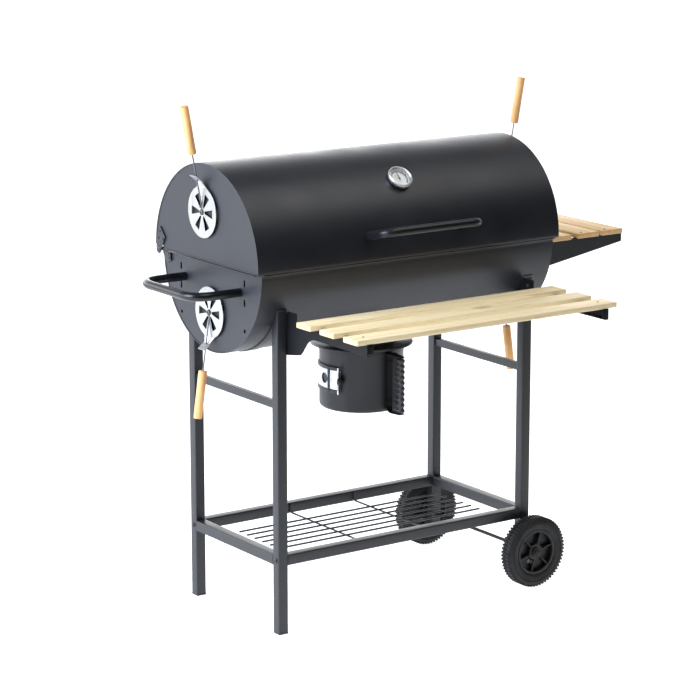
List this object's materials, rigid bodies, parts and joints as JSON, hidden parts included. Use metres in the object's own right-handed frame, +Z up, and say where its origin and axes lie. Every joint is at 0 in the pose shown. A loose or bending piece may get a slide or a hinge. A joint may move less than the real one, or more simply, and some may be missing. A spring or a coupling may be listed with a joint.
{
  "type": "barrel charcoal grill trolley",
  "caption": "Barrel charcoal grill on a two-wheeled trolley with hinged lid, turning vents, slatted front and side shelves, wire shelf and hanging ash pot.",
  "frame": {"origin": "on the ground, under the middle of the outer box", "axes": "+Z up; +X along the barrel towards the wheels and the side shelf; -Y towards the front shelf"},
  "size_m": [1.206, 0.7272, 1.1917],
  "materials": {
    "frame_steel": "satin black powder coat on square tube",
    "barrel_steel": "satin black heat-resistant paint on pressed steel",
    "bracket_steel": "satin black paint on folded steel",
    "pine": "planed, unvarnished pine",
    "beech": "turned, lightly lacquered wood",
    "chrome": "bright plated pressed steel",
    "zinc": "dark plated steel rod",
    "tyre": "matt moulded tread",
    "hub_plastic": "fine-grained moulded plastic",
    "grip_plastic": "ribbed moulded plastic",
    "grate_chrome": "chrome-plated wire",
    "charcoal_grate_steel": "dark enamelled steel bar",
    "dial": "white printed dial",
    "needle": "black painted pointer",
    "glass": "flat clear glass"
  },
  "bodies": {
    "trolley": {"leg_front_left": "frame_steel", "leg_front_right": "frame_steel", "leg_rear_left": "frame_steel", "leg_rear_right": "frame_steel", "side_rail_left": "frame_steel", "side_rail_right": "frame_steel", "side_brace_left": "frame_steel", "side_brace_right": "frame_steel", "saddle_left": "frame_steel", "saddle_right": "frame_steel", "long_rail_front": "frame_steel", "long_rail_rear": "frame_steel", "wire_shelf": "frame_steel", "bowl_shell": "barrel_steel", "bowl_end_left": "barrel_steel", "bowl_end_right": "barrel_steel", "push_handle": "barrel_steel", "pot_collar": "barrel_steel", "hinge_bracket_left": "barrel_steel", "hinge_bracket_right": "barrel_steel", "front_shelf_bracket_left": "bracket_steel", "front_shelf_bracket_right": "bracket_steel", "side_shelf_bracket_front": "bracket_steel", "side_shelf_bracket_rear": "bracket_steel", "front_slat_1": "pine", "front_slat_2": "pine", "front_slat_3": "pine", "side_slat_1": "pine", "side_slat_2": "pine", "side_slat_3": "pine", "axle": "zinc"},
    "lid": {"lid_shell": "barrel_steel", "lid_end_left": "barrel_steel", "lid_end_right": "barrel_steel", "hinge_arm_left": "barrel_steel", "hinge_arm_right": "barrel_steel", "lid_handle": "barrel_steel", "thermometer_housing": "chrome", "thermometer_dial": "dial", "thermometer_glass": "glass"},
    "needle": {"thermometer_needle": "needle"},
    "vent_upper_left": {"vent_upper_left": "chrome", "vent_grip_upper_left": "beech"},
    "vent_upper_right": {"vent_upper_right": "chrome", "vent_grip_upper_right": "beech"},
    "vent_lower_left": {"vent_lower_left": "chrome", "vent_grip_lower_left": "beech"},
    "vent_lower_right": {"vent_lower_right": "chrome", "vent_grip_lower_right": "beech"},
    "wheel_front": {"tyre_front": "tyre", "hub_front": "hub_plastic"},
    "wheel_rear": {"tyre_rear": "tyre", "hub_rear": "hub_plastic"},
    "ash_pot": {"ash_pot": "barrel_steel", "pot_handle": "barrel_steel", "pot_grip": "grip_plastic"},
    "pot_damper": {"pot_damper": "chrome"},
    "cooking_grate_left": {"cooking_grate_left": "grate_chrome"},
    "cooking_grate_right": {"cooking_grate_right": "grate_chrome"},
    "charcoal_grate": {"charcoal_grate": "charcoal_grate_steel"}
  },
  "joints": [
    {"name": "lid_hinge", "type": "hinge", "parent": "trolley", "child": "lid", "pos_m": [-0.064, 0.33215, 0.837], "axis": [-1, 0, 0], "range_deg": [0, 90]},
    {"name": "needle_turn", "type": "hinge", "parent": "lid", "child": "needle", "pos_m": [-0.0643, -0.01918, 1.00875], "axis": [0, -0.6756, 0.7373], "range_deg": [-240, 0]},
    {"name": "vent_upper_left_turn", "type": "hinge", "parent": "lid", "child": "vent_upper_left", "pos_m": [-0.494, 0.13715, 0.95], "axis": [1, 0, 0], "range_deg": [-30, 30]},
    {"name": "vent_lower_left_turn", "type": "hinge", "parent": "trolley", "child": "vent_lower_left", "pos_m": [-0.478, 0.13715, 0.72], "axis": [1, 0, 0], "range_deg": [-30, 30]},
    {"name": "vent_upper_right_turn", "type": "hinge", "parent": "lid", "child": "vent_upper_right", "pos_m": [0.354, 0.12715, 0.95], "axis": [1, 0, 0], "range_deg": [-30, 30]},
    {"name": "vent_lower_right_turn", "type": "hinge", "parent": "trolley", "child": "vent_lower_right", "pos_m": [0.344, 0.12715, 0.72], "axis": [1, 0, 0], "range_deg": [-30, 30]},
    {"name": "wheel_front_spin", "type": "hinge", "parent": "trolley", "child": "wheel_front", "pos_m": [0.282, -0.08885, 0.0855], "axis": [0, 1, 0], "continuous": true},
    {"name": "wheel_rear_spin", "type": "hinge", "parent": "trolley", "child": "wheel_rear", "pos_m": [0.282, 0.34065, 0.0855], "axis": [0, 1, 0], "continuous": true},
    {"name": "ash_pot_drop", "type": "slide", "parent": "trolley", "child": "ash_pot", "axis": [0, 0, -1], "range_m": [0, 0.12]},
    {"name": "pot_damper_slide", "type": "hinge", "parent": "ash_pot", "child": "pot_damper", "pos_m": [-0.064, 0.13215, 0.527], "axis": [0, 0, 1], "range_deg": [-15, 0]},
    {"name": "cooking_grate_left_lift", "type": "slide", "parent": "trolley", "child": "cooking_grate_left", "axis": [0, 0, 1], "range_m": [0, 0.05]},
    {"name": "cooking_grate_right_lift", "type": "slide", "parent": "trolley", "child": "cooking_grate_right", "axis": [0, 0, 1], "range_m": [0, 0.05]},
    {"name": "charcoal_grate_lift", "type": "slide", "parent": "trolley", "child": "charcoal_grate", "axis": [0, 0, 1], "range_m": [0, 0.05]}
  ]
}
